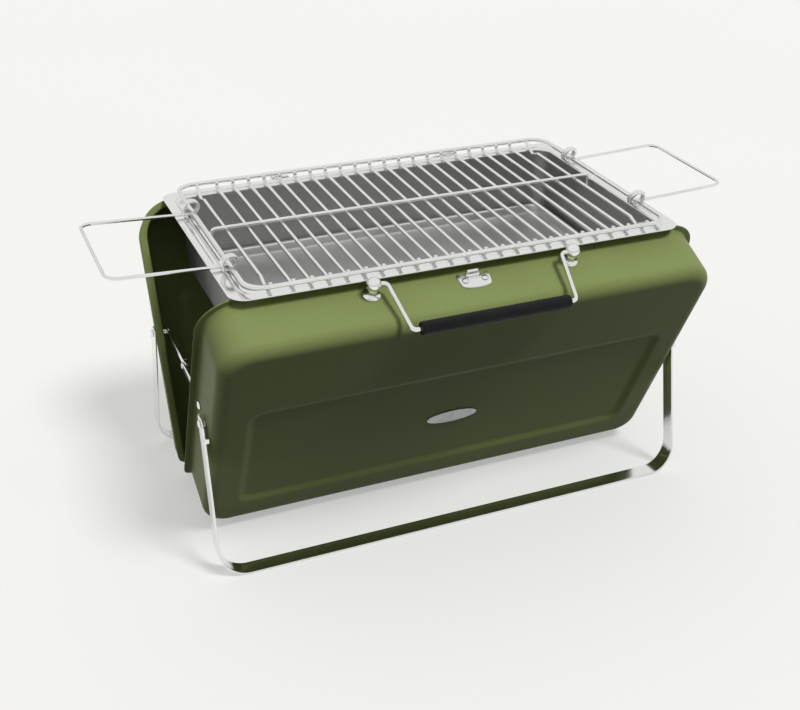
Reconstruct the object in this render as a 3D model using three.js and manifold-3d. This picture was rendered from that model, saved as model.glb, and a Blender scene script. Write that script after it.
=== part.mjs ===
// Portable folding charcoal grill: two stamped pans that close like a suitcase and open to a V,
// a firebox tray on top of them, a wire cooking grate, two strap legs and folding stays.
// Millimetres, +Z up, +X to the right, the front pan towards -Y, origin on the floor below the hinge.
import * as THREE from 'three';
import { mergeVertices } from 'three/addons/utils/BufferGeometryUtils.js';
import Module from 'manifold-3d';

const wasm = await Module();
wasm.setup();

// ---- driving dimensions ----
const rad = THREE.MathUtils.degToRad;
const gap = 0.3;                 // running gap between neighbouring pieces
const openAngle = rad(24.5);     // how far each pan leans out from the upright
const hingeHeight = 22;          // hinge axis above the floor

const pan = {
  halfLength: 239, bottom: 8, top: 273.5, depth: 56.5, sheet: 1.2,
  topCorner: 31, bottomCorner: 25, edgeRound: 12, sideRim: 6.2, topRim: 5.8, rimBottom: 27,
};
const panel = { halfLength: 209, bottom: 40, top: 189, corner: 15, slope: 8, depth: 3 };

const leg = { strap: 16, sheet: 2, halfLength: 243.5, footY: 123, bend: 29, eye: 8 };
const legPivot = { s: 151, d: 31.5 };   // s up the pan from the hinge axis, d outwards from the rim
const stayPivot = { s: 152, d: 12 };
const stay = { width: 8, sheet: 1.5, frontPlane: 235.9, backPlane: 233.9 };
const rivet = { shank: 1.8, head: 4.2, height: 1.8, hole: 2.2 };

const tray = {
  halfLength: 217.5, halfWidth: 126.9, top: 277.5, sheet: 1, corner: 16,
  openX: 201, openY: 112, openCorner: 14, floorX: 199.5, floorY: 89, floor: 213,
};
const coalPan = { halfLength: 191, halfWidth: 83, floor: 214.3, height: 9.7, lip: 4, sheet: 0.9, corner: 12 };

const grate = {
  halfLength: 202.5, halfWidth: 123.5, height: 284.5, wire: 2.1, corner: 18,
  rod: 1.8, rodsEachSide: 10, pitch: 16.2, endRodX: 182, tip: 2.5,
  dip: 4.2, dipY: 103, levelY: 91, spineY: 13, spineHalf: 197, spineEnd: 11,
};
const sideHandle = {
  wire: 1.6, armY: 62, reach: 104, corner: 11, coil: 6.9, turns: 2, coilPitch: 3.7,
  axisHeight: 286.8, rise: 4.6, tail: 3,
};
const carry = {
  postX: 96, postD: 16.6, ball: 6.6, foot: 7.9, stem: 12.5, bore: 2.4, reach: 49.7, armX: 84, gripX: 78,
  droop: 5.5, wire: 2, bend: 4.5, gripRadius: 6.2, gripHalf: 71,
};
const hinge = { x: 140, length: 60, knuckle: 3.6, bore: 1.9, pin: 1.5, leaf: 1.5, reach: 28 };

// ---- materials ----
const metal = (color, roughness, metalness = 1) =>
  new THREE.MeshStandardMaterial({ color, roughness, metalness });
const olivePaint = () => metal(0x4b5530, 0.45, 0);
const polishedSteel = () => metal(0xd8d8d6, 0.18);
const satinSteel = () => metal(0x8c8c8a, 0.4);
const blackGrip = () => metal(0x191a1b, 0.7, 0);

// ---- solids ----
// A closed geometry as a solid that can be joined and cut.
function solid(geometry) {
  const bare = geometry.index ? geometry.toNonIndexed() : geometry.clone();
  bare.deleteAttribute('normal');
  bare.deleteAttribute('uv');
  const merged = mergeVertices(bare, 1e-4);
  const vertProperties = Float32Array.from(merged.attributes.position.array);
  const triVerts = Uint32Array.from(merged.index.array);
  const made = new wasm.Manifold(new wasm.Mesh({ numProp: 3, vertProperties, triVerts }));
  if (made.volume() > 0) return made;
  return new wasm.Manifold(new wasm.Mesh({ numProp: 3, vertProperties, triVerts: triVerts.reverse() }));
}

function geometryOf(body) {
  const mesh = body.getMesh();
  const geometry = new THREE.BufferGeometry();
  geometry.setAttribute('position', new THREE.BufferAttribute(Float32Array.from(mesh.vertProperties), 3));
  geometry.setIndex(new THREE.BufferAttribute(Uint32Array.from(mesh.triVerts), 1));
  geometry.computeVertexNormals();
  return geometry;
}

const join = (...geometries) => geometryOf(geometries.map(solid).reduce((a, b) => a.add(b)));
const cut = (geometry, ...tools) =>
  geometryOf(tools.map(solid).reduce((a, b) => a.subtract(b), solid(geometry)));

function box(x0, x1, y0, y1, z0, z1) {
  return new THREE.BoxGeometry(x1 - x0, y1 - y0, z1 - z0)
    .translate((x0 + x1) / 2, (y0 + y1) / 2, (z0 + z1) / 2);
}

// A rod along X from x0 to x1.
function rodX(radius, x0, x1, y = 0, z = 0, sides = 12) {
  return new THREE.CylinderGeometry(radius, radius, Math.abs(x1 - x0), sides)
    .rotateZ(Math.PI / 2).translate((x0 + x1) / 2, y, z);
}

// A turned piece on the X axis; profile points are [distance along X, radius].
function turnedX(profile, sides = 12) {
  const points = profile.map(([along, radius]) => new THREE.Vector2(radius, along));
  return new THREE.LatheGeometry(points, sides).rotateZ(-Math.PI / 2);
}

// A rounded rectangle in the plane of two axes, with its own radius at the top and bottom corners.
function roundedRect(x0, x1, z0, z1, lowRadius, highRadius = lowRadius) {
  const quarter = Math.PI / 2;
  const shape = new THREE.Shape();
  shape.absarc(x1 - lowRadius, z0 + lowRadius, lowRadius, -quarter, 0, false);
  shape.absarc(x1 - highRadius, z1 - highRadius, highRadius, 0, quarter, false);
  shape.absarc(x0 + highRadius, z1 - highRadius, highRadius, quarter, 2 * quarter, false);
  shape.absarc(x0 + lowRadius, z0 + lowRadius, lowRadius, 2 * quarter, 3 * quarter, false);
  return shape;
}

// A prism of an outline drawn in X and Z, from y = -depth to y = 0.
const prismY = (shape, depth, curveSegments = 6) =>
  new THREE.ExtrudeGeometry(shape, { depth, bevelEnabled: false, curveSegments }).rotateX(Math.PI / 2);

// A prism of an outline drawn in X and Y, from z0 upwards.
const prismZ = (shape, z0, height, curveSegments = 6) =>
  new THREE.ExtrudeGeometry(shape, { depth: height, bevelEnabled: false, curveSegments })
    .translate(0, 0, z0);

// A wire's route: straight runs between corners, each corner rounded by an arc of `steps` pieces.
class WireRoute extends THREE.Curve {
  constructor(stations) {
    super();
    this.stations = stations;
  }

  getPoint(t, target = new THREE.Vector3()) {
    const place = t * (this.stations.length - 1);
    const first = Math.min(Math.floor(place), this.stations.length - 2);
    return target.lerpVectors(this.stations[first], this.stations[first + 1], place - first);
  }

  getUtoTmapping(u) {
    return u;
  }

  getTangent(t, target = new THREE.Vector3()) {
    const last = this.stations.length - 1;
    const at = Math.round(t * last);
    const direction = (a, b) => this.stations[b].clone().sub(this.stations[a]).normalize();
    const before = direction(Math.max(at - 1, 0), Math.max(at, 1));
    const after = direction(Math.min(at, last - 1), Math.min(at + 1, last));
    return target.copy(before).add(after).normalize();
  }
}

function roundCorners(corners, radius, steps = 4) {
  const points = corners.map((corner) => new THREE.Vector3(...corner));
  const stations = [points[0]];
  for (let i = 1; i < points.length - 1; i += 1) {
    const back = points[i - 1].clone().sub(points[i]).normalize();
    const ahead = points[i + 1].clone().sub(points[i]).normalize();
    const half = back.angleTo(ahead) / 2;
    const reach = radius / Math.tan(half);
    const centre = back.clone().add(ahead).normalize().multiplyScalar(radius / Math.sin(half)).add(points[i]);
    const from = points[i].clone().addScaledVector(back, reach).sub(centre);
    const to = points[i].clone().addScaledVector(ahead, reach).sub(centre);
    const turn = from.angleTo(to);
    for (let k = 0; k <= steps; k += 1) {
      const a = Math.sin((1 - k / steps) * turn) / Math.sin(turn);
      const b = Math.sin((k / steps) * turn) / Math.sin(turn);
      stations.push(from.clone().multiplyScalar(a).addScaledVector(to, b).add(centre));
    }
  }
  stations.push(points.at(-1));
  return stations;
}

// A round wire along its stations.
function wire(stations, radius, sides = 8) {
  const section = new THREE.Shape();
  for (let k = 0; k < sides; k += 1) {
    const angle = (2 * Math.PI * (k + 0.5)) / sides;
    if (k === 0) section.moveTo(radius * Math.cos(angle), radius * Math.sin(angle));
    else section.lineTo(radius * Math.cos(angle), radius * Math.sin(angle));
  }
  return new THREE.ExtrudeGeometry(section, {
    steps: stations.length - 1, extrudePath: new WireRoute(stations),
  });
}

// ---- the grill and its groups ----
const grill = new THREE.Group();
const frontSide = new THREE.Group();   // the front pan, upright at y < 0, leaning out by openAngle
const backSide = new THREE.Group();    // the same, turned round
frontSide.position.set(0, 0, hingeHeight);
frontSide.rotation.set(openAngle, 0, 0);
backSide.position.set(0, 0, hingeHeight);
backSide.rotation.set(-openAngle, 0, Math.PI);
grill.add(frontSide, backSide);

function add(group, name, geometry, material) {
  const mesh = new THREE.Mesh(geometry, material);
  mesh.name = name;
  group.add(mesh);
  return mesh;
}

// ---- the two pans ----
// A block with rounded corners and a rounded outer edge, from y = -depth to past the rim plane.
function panBlock(inset, depth) {
  const round = pan.edgeRound - inset;
  const shape = roundedRect(
    -pan.halfLength + pan.edgeRound, pan.halfLength - pan.edgeRound,
    pan.bottom + pan.edgeRound, pan.top - pan.edgeRound,
    pan.bottomCorner - pan.edgeRound, pan.topCorner - pan.edgeRound,
  );
  return new THREE.ExtrudeGeometry(shape, {
    depth, bevelThickness: round, bevelSize: round, bevelSegments: 3, curveSegments: 5,
  }).rotateX(Math.PI / 2).translate(0, round, 0);
}

// The pressed panel: widest at the face y, narrower by panel.slope at panel.depth behind it.
function panelBlock(y) {
  const shape = roundedRect(
    -panel.halfLength + panel.slope, panel.halfLength - panel.slope,
    panel.bottom + panel.slope, panel.top - panel.slope, panel.corner - panel.slope,
  );
  return new THREE.ExtrudeGeometry(shape, {
    depth: panel.depth, bevelThickness: panel.depth, bevelSize: panel.slope, bevelSegments: 1,
    curveSegments: 4,
  }).rotateX(Math.PI / 2).translate(0, y, 0);
}

function panShell() {
  const far = 2 * pan.halfLength;
  const cavity = cut(panBlock(pan.sheet, pan.depth - pan.sheet), panelBlock(-pan.depth + pan.sheet));
  const walls = cut(panBlock(0, pan.depth), panelBlock(-pan.depth), box(-far, far, -gap, far, -far, far));
  const edge = pan.halfLength + pan.sideRim;
  const outline = roundedRect(-edge, edge, pan.bottom, pan.top + pan.topRim, pan.bottomCorner,
    pan.topCorner + pan.sideRim);
  const rim = cut(
    prismY(outline, pan.sheet, 8).translate(0, -gap, 0),
    box(-far, far, -far, far, -far, pan.rimBottom),
  );
  const across = (radius, at) => rodX(radius, -far, far, -at.d, at.s);
  return cut(join(walls, rim), cavity, across(rivet.hole, legPivot), across(rivet.hole, stayPivot));
}

add(frontSide, 'front_shell', panShell(), olivePaint());
add(backSide, 'back_shell', panShell(), olivePaint());

// ---- bottom hinges ----
// A leaf lies under the pan's bottom wall and turns down to its knuckles on the hinge axis.
function hingeLeaf(knuckles) {
  const half = hinge.length / 2;
  const top = pan.bottom - gap;
  const plate = box(-half, half, -hinge.reach, -2, top - hinge.leaf, top);
  const parts = knuckles.flatMap(([x0, x1]) => [
    rodX(hinge.knuckle, x0, x1),
    box(x0, x1, -hinge.knuckle, -hinge.knuckle + hinge.leaf, 0, top - hinge.leaf / 2),
  ]);
  const heads = [-half / 2, half / 2].map((x) => new THREE.CylinderGeometry(3, 2.2, 1.4, 12)
    .rotateX(Math.PI / 2).translate(x, -hinge.reach / 2 - 3, top - hinge.leaf - 0.6));
  return cut(join(plate, ...parts, ...heads), rodX(hinge.bore, -half - 1, half + 1));
}

const outerKnuckles = [[-hinge.length / 2, -hinge.length / 6 - gap], [hinge.length / 6 + gap, hinge.length / 2]];
const middleKnuckle = [[-hinge.length / 6 + gap, hinge.length / 6 - gap]];
const pinHalf = hinge.length / 2 + 1.5;
for (const [side, x] of [['left', -hinge.x], ['right', hinge.x]]) {
  add(frontSide, `front_hinge_leaf_${side}`, hingeLeaf(outerKnuckles), satinSteel()).position.x = x;
  add(backSide, `back_hinge_leaf_${side}`, hingeLeaf(middleKnuckle), satinSteel()).position.x = -x;
  add(frontSide, `hinge_pin_${side}`, rodX(hinge.pin, -pinHalf, pinHalf, 0, 0, 12), satinSteel())
    .position.x = x;
}

// ---- strap legs ----
// A place on the front pan, in the grill's own frame; the back pan's is the same with y turned round.
function onFrontPan({ s, d }) {
  return {
    y: -s * Math.sin(openAngle) - d * Math.cos(openAngle),
    z: hingeHeight + s * Math.cos(openAngle) - d * Math.sin(openAngle),
  };
}

// A U of flat strap seen along Y, leaning out from its pivot until its bar lies flat on the floor.
function strapLeg(pivot) {
  const outer = leg.halfLength;
  const inner = outer - leg.sheet;
  const centre = outer - leg.bend;
  const low = -pivot.z + leg.bend;
  const quarter = Math.PI / 2;
  const outline = new THREE.Shape();
  outline.moveTo(-outer, 0);
  outline.absarc(-centre, low, leg.bend, 2 * quarter, 3 * quarter, false);
  outline.absarc(centre, low, leg.bend, -quarter, 0, false);
  outline.lineTo(outer, 0);
  outline.lineTo(inner, 0);
  outline.absarc(centre, low, leg.bend - leg.sheet, 0, -quarter, true);
  outline.absarc(-centre, low, leg.bend - leg.sheet, -quarter, -2 * quarter, true);
  outline.lineTo(-inner, 0);
  const lean = (leg.footY + pivot.y) / pivot.z;
  const strap = prismY(outline, leg.strap).translate(0, leg.strap / 2, 0)
    .applyMatrix4(new THREE.Matrix4().makeShear(0, 0, 0, 0, 0, lean));
  const frontEdge = -leg.strap / 2 - 17 * lean;
  const eyesAndStops = [-1, 1].flatMap((side) => [
    rodX(leg.eye, side * inner, side * outer),
    box(Math.min(side * inner, side * outer), Math.max(side * inner, side * outer),
      frontEdge - 5, frontEdge + 2, -20, -16),
  ]);
  return cut(join(strap, ...eyesAndStops), rodX(rivet.hole, -outer - 1, outer + 1));
}

const legAt = onFrontPan(legPivot);
const frontLeg = add(grill, 'front_leg', strapLeg(legAt), polishedSteel());
frontLeg.position.set(0, legAt.y, legAt.z);
const backLeg = add(grill, 'back_leg', strapLeg(legAt), polishedSteel());
backLeg.position.set(0, -legAt.y, legAt.z);
backLeg.rotation.z = Math.PI;

// ---- rivets through the pans' side walls ----
const wallOut = pan.halfLength;
const wallIn = pan.halfLength - pan.sheet;

function domeHead(x) {
  return [[x, rivet.shank], [x, rivet.head], [x + 0.55 * rivet.height, 0.85 * rivet.head],
    [x + 0.9 * rivet.height, 0.45 * rivet.head], [x + rivet.height, 0]];
}

function legRivet() {
  const spacerEnd = leg.halfLength - leg.sheet - gap;
  return turnedX([
    [wallIn - 1.5, 0], [wallIn - 1.5, 3.2], [wallIn - gap, 3.2], [wallIn - gap, rivet.shank],
    [wallOut + gap, rivet.shank], [wallOut + gap, 4.6], [spacerEnd, 4.6], [spacerEnd, rivet.shank],
    ...domeHead(leg.halfLength + gap),
  ]);
}

function stayRivet(plane) {
  const link = plane - stay.sheet - gap;
  return turnedX([
    [link - 1.3, 0], [link - 1.3, 3.4], [link, 3.4], [link, rivet.shank],
    [plane + gap, rivet.shank], [plane + gap, 3.4], [wallIn - gap, 3.4], [wallIn - gap, rivet.shank],
    ...domeHead(wallOut + gap),
  ]);
}

// Puts a turned piece made for the right wall into both walls of one pan.
function inBothWalls(group, end, name, make, at) {
  const left = end === 'front' ? -1 : 1;
  for (const [side, turn] of [['left', left], ['right', -left]]) {
    const mesh = add(group, `${end}_${name}_${side}`, make(), polishedSteel());
    mesh.position.set(0, -at.d, at.s);
    mesh.rotation.z = turn < 0 ? Math.PI : 0;
  }
}

inBothWalls(frontSide, 'front', 'leg_rivet', legRivet, legPivot);
inBothWalls(backSide, 'back', 'leg_rivet', legRivet, legPivot);
inBothWalls(frontSide, 'front', 'stay_rivet', () => stayRivet(stay.frontPlane), stayPivot);
inBothWalls(backSide, 'back', 'stay_rivet', () => stayRivet(stay.backPlane), stayPivot);

// ---- folding stays ----
const stayAt = onFrontPan(stayPivot);
const linkLength = -stayAt.y;

// A flat bar with round ends from its pivot at y = 0 along +Y to the elbow.
function stayLink(plane) {
  const round = (y) => rodX(stay.width / 2, plane - stay.sheet, plane, y, 0);
  const hole = (y) => rodX(rivet.hole, plane - 5, plane + 5, y, 0);
  const bar = box(plane - stay.sheet, plane, 0, linkLength, -stay.width / 2, stay.width / 2);
  return cut(join(bar, round(0), round(linkLength)), hole(0), hole(linkLength));
}

const elbowRivet = () => turnedX([
  [stay.backPlane - stay.sheet - gap - rivet.height, 0],
  [stay.backPlane - stay.sheet - gap - 0.6 * rivet.height, 0.8 * rivet.head],
  [stay.backPlane - stay.sheet - gap, rivet.head], [stay.backPlane - stay.sheet - gap, rivet.shank],
  [stay.backPlane, rivet.shank], [stay.backPlane, 0],
]);

for (const [side, sign] of [['left', -1], ['right', 1]]) {
  const plane = (distance) => (sign > 0 ? distance : -distance + stay.sheet);
  const front = add(grill, `front_stay_link_${side}`, stayLink(plane(stay.frontPlane)), polishedSteel());
  front.position.set(0, stayAt.y, stayAt.z);
  const back = add(grill, `back_stay_link_${side}`, stayLink(-plane(stay.backPlane) + stay.sheet), polishedSteel());
  back.position.set(0, -stayAt.y, stayAt.z);
  back.rotation.z = Math.PI;
  const elbow = add(grill, `elbow_rivet_${side}`, elbowRivet(), polishedSteel());
  elbow.position.set(0, 0, stayAt.z);
  elbow.rotation.z = sign > 0 ? 0 : Math.PI;
}

// ---- firebox tray and charcoal pan ----
// A block from z0 to z1 whose outline is drawn at the top and scaled in towards the bottom.
function hopper(outline, z0, z1, scaleX, scaleY) {
  const block = prismZ(outline, z0, z1 - z0);
  const place = block.attributes.position;
  for (let i = 0; i < place.count; i += 1) {
    const down = (z1 - place.getZ(i)) / (z1 - z0);
    place.setX(i, place.getX(i) * (1 - down * (1 - scaleX)));
    place.setY(i, place.getY(i) * (1 - down * (1 - scaleY)));
  }
  return block;
}

const plate = (halfX, halfY, corner) => roundedRect(-halfX, halfX, -halfY, halfY, corner);

function fireboxTray() {
  const flange = prismZ(plate(tray.halfLength, tray.halfWidth, tray.corner), tray.top - tray.sheet, tray.sheet);
  const scaleX = tray.floorX / tray.openX;
  const scaleY = tray.floorY / tray.openY;
  const outside = hopper(
    plate(tray.openX + tray.sheet, tray.openY + tray.sheet, tray.openCorner + tray.sheet),
    tray.floor, tray.top - tray.sheet / 2, scaleX, scaleY,
  );
  const inside = hopper(
    plate(tray.openX, tray.openY, tray.openCorner),
    tray.floor + tray.sheet, tray.top + tray.sheet, scaleX, scaleY,
  );
  return cut(join(flange, outside), inside);
}

function charcoalPan() {
  const { halfLength, halfWidth, floor, height, lip, sheet, corner } = coalPan;
  const taper = (half) => (half - 3) / half;
  const rim = prismZ(plate(halfLength + lip, halfWidth + lip, corner + lip), floor + height - sheet, sheet);
  const outside = hopper(plate(halfLength, halfWidth, corner), floor, floor + height - sheet / 2,
    taper(halfLength), taper(halfWidth));
  const inside = hopper(plate(halfLength - sheet, halfWidth - sheet, corner - sheet), floor + sheet,
    floor + height + sheet, taper(halfLength), taper(halfWidth));
  return cut(join(rim, outside), inside);
}

add(grill, 'firebox_tray', fireboxTray(), polishedSteel());
add(grill, 'charcoal_pan', charcoalPan(), satinSteel());

// ---- cooking grate ----
// One loop of wire whose ends butt together at the middle of the front run.
function grateFrame() {
  const { halfLength, halfWidth, height, corner } = grate;
  const stations = roundCorners([
    [gap / 2, -halfWidth, height], [halfLength, -halfWidth, height], [halfLength, halfWidth, height],
    [-halfLength, halfWidth, height], [-halfLength, -halfWidth, height], [-gap / 2, -halfWidth, height],
  ], corner, 5);
  return wire(stations, grate.wire);
}

const rodLevel = tray.top + gap + grate.rod;

function crossRod(x) {
  const y = grate.halfWidth - grate.wire - grate.rod - gap;
  const tip = grate.height + grate.tip;
  return wire(roundCorners([[x, -y, tip], [x, -y, rodLevel], [x, y, rodLevel], [x, y, tip]], 3, 2),
    grate.rod, 6);
}

// The end rods dip just inside the tray's opening, which keeps the grate from sliding.
function endRod(x) {
  const y = grate.halfWidth - grate.wire - grate.rod - gap;
  const tip = grate.height + grate.tip;
  const low = rodLevel - grate.dip;
  const half = [[x, y, tip], [x, y, rodLevel + 4.5], [x, grate.dipY, low], [x, grate.levelY, rodLevel]];
  const other = half.map(([px, py, pz]) => [px, -py, pz]).reverse();
  return wire(roundCorners([...half, ...other], 3, 2), grate.rod, 6);
}

function grateRods() {
  const steps = Array.from({ length: 2 * grate.rodsEachSide + 1 }, (_, k) => k - grate.rodsEachSide);
  const spineLevel = rodLevel + 2 * grate.rod - 0.3;
  const spine = wire(roundCorners([
    [-grate.spineHalf, grate.spineY, spineLevel - grate.spineEnd], [-grate.spineHalf, grate.spineY, spineLevel],
    [grate.spineHalf, grate.spineY, spineLevel], [grate.spineHalf, grate.spineY, spineLevel - grate.spineEnd],
  ], 5, 3), grate.rod, 6);
  return join(spine, ...steps.map((k) => crossRod(k * grate.pitch)), endRod(-grate.endRodX),
    endRod(grate.endRodX));
}

add(grill, 'grate_frame', grateFrame(), polishedSteel());
add(grill, 'grate_rods', grateRods(), polishedSteel());

// ---- side handles of the grate ----
// The right handle: arms, corners and bar, each arm ending in a coil round the frame's end wire.
function sideHandleStations() {
  const { armY, reach, corner, coil, turns, coilPitch, rise, tail } = sideHandle;
  const stepsPerTurn = 10;
  const coilStations = Array.from({ length: stepsPerTurn * turns + 1 }, (_, k) => {
    const angle = (2 * Math.PI * k) / stepsPerTurn;
    return new THREE.Vector3(
      -coil * Math.sin(angle), armY + (coilPitch * k) / stepsPerTurn, -coil * Math.cos(angle),
    );
  });
  const last = coilStations.at(-1);
  coilStations.push(new THREE.Vector3(-tail, last.y, last.z));
  const arms = roundCorners([
    [coil, armY, -coil + 0.3], [reach, armY, -coil + rise],
    [reach, -armY, -coil + rise], [coil, -armY, -coil + 0.3],
  ], corner, 5);
  const turned = coilStations.map((point) => point.clone().setY(-point.y));
  return [...coilStations.reverse(), ...arms, ...turned];
}

for (const [side, turn] of [['left', Math.PI], ['right', 0]]) {
  const handle = add(grill, `side_handle_${side}`, wire(sideHandleStations(), sideHandle.wire, 6), polishedSteel());
  handle.position.set(turn ? -grate.halfLength : grate.halfLength, 0, sideHandle.axisHeight);
  handle.rotation.z = turn;
}

// ---- carrying handles ----
const ballHeight = pan.top + gap + carry.stem;

function handlePost(inward) {
  const { ball, foot, stem, bore } = carry;
  const ballProfile = [-50, -20, 10, 40, 65].map((degrees) => new THREE.Vector2(
    ball * Math.cos(rad(degrees)), stem + ball * Math.sin(rad(degrees)),
  ));
  const profile = [[0, 0], [foot, 0], [foot - 0.4, 1], [4.6, 2.8], [3.7, 4.6]]
    .map(([radius, z]) => new THREE.Vector2(radius, z));
  const post = new THREE.LatheGeometry([...profile, ...ballProfile, new THREE.Vector2(0, stem + ball)], 12)
    .rotateX(Math.PI / 2);
  return cut(post, rodX(bore, Math.min(0, inward * 10), Math.max(0, inward * 10), 0, stem));
}

function carryWire() {
  const { postX, armX, gripX, reach, droop, bend, wire: radius } = carry;
  return wire(roundCorners([
    [-postX + 1, 0, 0], [-armX, 0, 0], [-gripX, -reach, -droop],
    [gripX, -reach, -droop], [armX, 0, 0], [postX - 1, 0, 0],
  ], bend, 4), radius);
}

function gripSleeve() {
  const { gripHalf, gripRadius, wire: radius } = carry;
  const inner = radius + gap;
  const round = 1.6;
  return turnedX([
    [-gripHalf, inner], [-gripHalf, gripRadius - round], [-gripHalf + round, gripRadius],
    [gripHalf - round, gripRadius], [gripHalf, gripRadius - round], [gripHalf, inner], [-gripHalf, inner],
  ]);
}

for (const [group, end] of [[frontSide, 'front'], [backSide, 'back']]) {
  const left = end === 'front' ? -1 : 1;
  for (const [side, sign] of [['left', left], ['right', -left]]) {
    add(group, `${end}_handle_post_${side}`, handlePost(-sign), polishedSteel())
      .position.set(sign * carry.postX, -carry.postD, pan.top + gap);
  }
  add(group, `${end}_handle_wire`, carryWire(), polishedSteel())
    .position.set(0, -carry.postD, ballHeight);
  add(group, `${end}_handle_grip`, gripSleeve(), blackGrip())
    .position.set(0, -carry.postD - carry.reach, ballHeight - carry.droop);
}

// ---- latch ----
const topWall = pan.top + gap;

const strike = { halfWidth: 15, near: 12, far: 28.8, rise: 5.2, hookHalf: 6.5, rivetX: 9.5, rivetD: 20 };

// The strike: a plate on the front pan's top wall with a hook raised from its inner edge.
function strikePlate() {
  const base = new THREE.Shape();
  const { halfWidth, near, far, rise, hookHalf } = strike;
  base.moveTo(-halfWidth, -near);
  base.lineTo(-halfWidth, -near - 7);
  base.quadraticCurveTo(-halfWidth + 2, -far + 1, -6, -far);
  base.lineTo(6, -far);
  base.quadraticCurveTo(halfWidth - 2, -far + 1, halfWidth, -near - 7);
  base.lineTo(halfWidth, -near);
  const hook = box(-hookHalf, hookHalf, -near - 2, -near, topWall, topWall + rise);
  const lip = box(-hookHalf, hookHalf, -near - 5.5, -near, topWall + rise - 1.2, topWall + rise);
  return join(prismZ(base, topWall, 1.2, 4), hook, lip);
}

const smallRivet = () => new THREE.LatheGeometry(
  [[0, 0], [3, 0], [2.7, 0.8], [1.6, 1.3], [0, 1.5]].map(([radius, z]) => new THREE.Vector2(radius, z)), 12,
).rotateX(Math.PI / 2);

add(frontSide, 'strike_plate', strikePlate(), polishedSteel());
for (const [side, x] of [['left', -strike.rivetX], ['right', strike.rivetX]]) {
  add(frontSide, `strike_rivet_${side}`, smallRivet(), polishedSteel())
    .position.set(x, -strike.rivetD, topWall + 1.2 + gap);
}

// The toggle on the back pan's top wall: a base with two ears, a lever between them and a wire loop.
const toggle = { axisD: 20, axisZ: topWall + 4.6, bore: 1.6, pin: 1.3, half: 9 };

function latchBase() {
  const base = box(-15, 15, -toggle.axisD - 10, -toggle.axisD + 9, topWall, topWall + 1.2);
  const ears = [-1, 1].flatMap((side) => {
    const x0 = Math.min(side * 11, side * 12.4);
    return [box(x0, x0 + 1.4, -toggle.axisD - 3.5, -toggle.axisD + 3.5, topWall, toggle.axisZ),
      rodX(3.5, x0, x0 + 1.4, -toggle.axisD, toggle.axisZ)];
  });
  return cut(join(base, ...ears), rodX(toggle.bore, -14, 14, -toggle.axisD, toggle.axisZ));
}

function latchLever() {
  const { axisD, axisZ, half, pin } = toggle;
  const tongue = box(-half, half, -axisD - 16, -axisD, axisZ + 0.6, axisZ + 1.9);
  const tip = box(-half, half, -axisD - 18, -axisD - 15.5, axisZ + 0.6, axisZ + 3.6);
  return join(tongue, tip, rodX(2.4, -half, half, -axisD, axisZ), rodX(pin, -13.2, 13.2, -axisD, axisZ));
}

add(backSide, 'latch_base', latchBase(), polishedSteel());
add(backSide, 'latch_lever', latchLever(), polishedSteel());

// ---- blank oval badge on the front panel ----
function badge() {
  const oval = new THREE.Shape();
  oval.absellipse(0, 0, 25.5, 8.2, 0, 2 * Math.PI, false, 0);
  return new THREE.ExtrudeGeometry(oval, {
    depth: 0.8, bevelThickness: 0.6, bevelSize: 0.6, bevelSegments: 1, curveSegments: 16,
  }).rotateX(Math.PI / 2);
}

add(frontSide, 'badge', badge(), satinSteel())
  .position.set(0, -pan.depth + panel.depth - gap - 0.6, 113);

export default grill;
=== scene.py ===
import bpy
import numpy as np
from mathutils import Matrix


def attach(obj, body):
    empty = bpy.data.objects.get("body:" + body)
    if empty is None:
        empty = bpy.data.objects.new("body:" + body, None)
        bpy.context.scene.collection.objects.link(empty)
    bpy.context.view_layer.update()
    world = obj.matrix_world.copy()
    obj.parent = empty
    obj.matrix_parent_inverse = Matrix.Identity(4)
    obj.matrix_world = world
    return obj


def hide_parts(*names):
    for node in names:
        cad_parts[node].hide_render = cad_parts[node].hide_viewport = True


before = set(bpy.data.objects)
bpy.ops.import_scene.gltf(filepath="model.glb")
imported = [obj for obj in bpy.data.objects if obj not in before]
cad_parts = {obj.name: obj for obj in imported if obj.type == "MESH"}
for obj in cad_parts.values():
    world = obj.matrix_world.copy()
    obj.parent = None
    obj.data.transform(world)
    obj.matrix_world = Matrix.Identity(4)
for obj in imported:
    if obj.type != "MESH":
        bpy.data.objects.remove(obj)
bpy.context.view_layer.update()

# A portable folding charcoal grill. Shapes are worked out in millimetres and scaled once, when a mesh is made.
# x runs to the right, the front pan lies towards -y, z is up. On a pan, s climbs its rim plane from the hinge
# axis and d goes outwards from that plane.
mm = 0.001
openAngle = np.radians(24.5)
hingeHeight = 22.0
xAxis, yAxis, zAxis = np.eye(3)

# ---- camera ----
view = dict(yaw=23.18376, pitch=29.06894, roll=0.83, focal=55.747, place=(-0.445622, -1.008403, 0.731788))


def addCamera():
    yaw, pitch, roll = np.radians([view["yaw"], view["pitch"], view["roll"]])
    ahead = np.array([np.sin(yaw) * np.cos(pitch), np.cos(yaw) * np.cos(pitch), -np.sin(pitch)])
    level = np.array([np.cos(yaw), -np.sin(yaw), 0.0])
    above = np.cross(level, ahead)
    right = np.cos(roll) * level + np.sin(roll) * above
    up = np.cos(roll) * above - np.sin(roll) * level
    turn = Matrix(np.column_stack([right, up, -ahead]).tolist()).to_4x4()
    camera = bpy.data.objects.new("camera", bpy.data.cameras.new("camera"))
    camera.matrix_world = Matrix.Translation(view["place"]) @ turn
    camera.data.sensor_width = 36.0
    camera.data.lens = view["focal"]
    bpy.context.scene.collection.objects.link(camera)
    bpy.context.scene.camera = camera


addCamera()
print("camera placed")


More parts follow.
